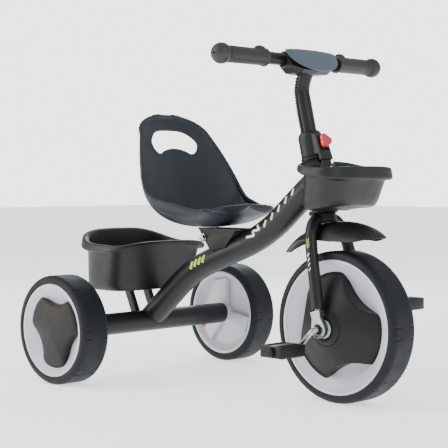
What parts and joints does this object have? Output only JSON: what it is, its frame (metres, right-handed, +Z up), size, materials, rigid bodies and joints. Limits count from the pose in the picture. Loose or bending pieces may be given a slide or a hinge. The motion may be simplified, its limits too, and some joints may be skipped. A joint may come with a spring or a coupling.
{
  "type": "children's tricycle",
  "caption": "Children's tricycle with a curved tube frame, bucket seat, raked fork with direct-drive pedals, height-adjustable handlebar and open baskets front and rear.",
  "frame": {"origin": "on the ground below the middle of the bounding box", "axes": "+X forward in the riding direction, +Y to the rider's left, +Z up"},
  "size_m": [0.7136, 0.484, 0.5854],
  "materials": {
    "painted_steel": "satin charcoal powder coat",
    "satin_plastic": "satin charcoal moulded plastic",
    "black_plastic": "fine-grained black moulded plastic",
    "tyre_foam": "smooth black foam rubber",
    "grip_rubber": "matt black soft rubber",
    "white_plastic": "semi-gloss off-white moulded plastic",
    "zinc_steel": "bright zinc plate",
    "red_plastic": "glossy red moulded plastic",
    "slate_plastic": "smooth blue-grey moulded plastic"
  },
  "bodies": {
    "frame": {"main_tube": "painted_steel", "head_tube": "painted_steel", "bearing_cup_upper": "black_plastic", "bearing_cup_lower": "black_plastic", "rear_axle_tube": "painted_steel", "seat_bracket": "painted_steel", "seat_bracket_bolt": "zinc_steel", "seat": "satin_plastic", "seat_screw_rear": "zinc_steel", "seat_screw_front": "zinc_steel", "basket_bracket": "painted_steel", "rear_basket": "satin_plastic", "rear_basket_screw_right": "zinc_steel", "rear_basket_screw_left": "zinc_steel", "axle_socket_right": "black_plastic", "axle_socket_left": "black_plastic", "rear_axle_right": "zinc_steel", "rear_axle_left": "zinc_steel", "latch_spring_right": "zinc_steel", "latch_spring_left": "zinc_steel"},
    "release_button_right": {"release_button_right": "red_plastic"},
    "release_button_left": {"release_button_left": "red_plastic"},
    "steering": {"steerer_tube": "painted_steel", "fork_leg_right": "painted_steel", "fork_leg_left": "painted_steel", "dropout_right": "zinc_steel", "dropout_left": "zinc_steel", "crank_bush_right": "black_plastic", "crank_bush_left": "black_plastic", "fender": "satin_plastic", "fender_screw": "zinc_steel", "front_basket": "satin_plastic", "front_basket_screw": "zinc_steel", "stem_collar": "satin_plastic"},
    "clamp_knob": {"clamp_knob": "red_plastic", "clamp_stud": "zinc_steel"},
    "handlebar": {"stem_tube": "painted_steel", "stem_rack": "black_plastic", "handlebar_tube": "painted_steel", "grip_right": "grip_rubber", "grip_left": "grip_rubber", "handlebar_clamp": "satin_plastic", "handlebar_cover": "slate_plastic", "handlebar_screw_right": "zinc_steel", "handlebar_screw_left": "zinc_steel"},
    "front_wheel": {"front_tyre": "tyre_foam", "front_rim": "white_plastic", "front_cover_right": "black_plastic", "front_cover_left": "black_plastic", "crank_axle": "zinc_steel"},
    "pedal_right": {"pedal_right": "black_plastic", "pedal_cap_right": "black_plastic"},
    "pedal_left": {"pedal_left": "black_plastic", "pedal_cap_left": "black_plastic"},
    "rear_wheel_right": {"rear_tyre_right": "tyre_foam", "rear_rim_right": "white_plastic", "rear_cover_right": "black_plastic"},
    "rear_wheel_left": {"rear_tyre_left": "tyre_foam", "rear_rim_left": "white_plastic", "rear_cover_left": "black_plastic"}
  },
  "joints": [
    {"name": "steering_turn", "type": "hinge", "parent": "frame", "child": "steering", "pos_m": [0.23116, 0, 0.125], "axis": [-0.2368, 0, 0.9715], "range_deg": [-40, 40]},
    {"name": "handlebar_height", "type": "slide", "parent": "steering", "child": "handlebar", "axis": [-0.2368, 0, 0.9715], "range_m": [0, 0.06]},
    {"name": "clamp_knob_turn", "type": "hinge", "parent": "steering", "child": "clamp_knob", "pos_m": [0.18516, 0, 0.42978], "axis": [0.9715, 0, 0.2368], "range_deg": [0, 360]},
    {"name": "front_wheel_spin", "type": "hinge", "parent": "steering", "child": "front_wheel", "pos_m": [0.23116, 0, 0.125], "axis": [0, 1, 0], "continuous": true},
    {"name": "pedal_right_spin", "type": "hinge", "parent": "front_wheel", "child": "pedal_right", "pos_m": [0.20059, -0.117, 0.09335], "axis": [0, 1, 0], "continuous": true},
    {"name": "pedal_left_spin", "type": "hinge", "parent": "front_wheel", "child": "pedal_left", "pos_m": [0.26172, 0.117, 0.15665], "axis": [0, 1, 0], "continuous": true},
    {"name": "rear_wheel_right_spin", "type": "hinge", "parent": "frame", "child": "rear_wheel_right", "pos_m": [-0.24584, -0.21325, 0.0975], "axis": [0, 1, 0], "continuous": true},
    {"name": "rear_wheel_left_spin", "type": "hinge", "parent": "frame", "child": "rear_wheel_left", "pos_m": [-0.24584, 0.21325, 0.0975], "axis": [0, 1, 0], "continuous": true},
    {"name": "release_button_right_press", "type": "slide", "parent": "frame", "child": "release_button_right", "axis": [0, 0, 1], "range_m": [0, 0.003], "stiffness_N_per_m": 400, "springref_m": -0.003, "deforming": ["latch_spring_right"]},
    {"name": "release_button_left_press", "type": "slide", "parent": "frame", "child": "release_button_left", "axis": [0, 0, 1], "range_m": [0, 0.003], "stiffness_N_per_m": 400, "springref_m": -0.003, "deforming": ["latch_spring_left"]}
  ]
}
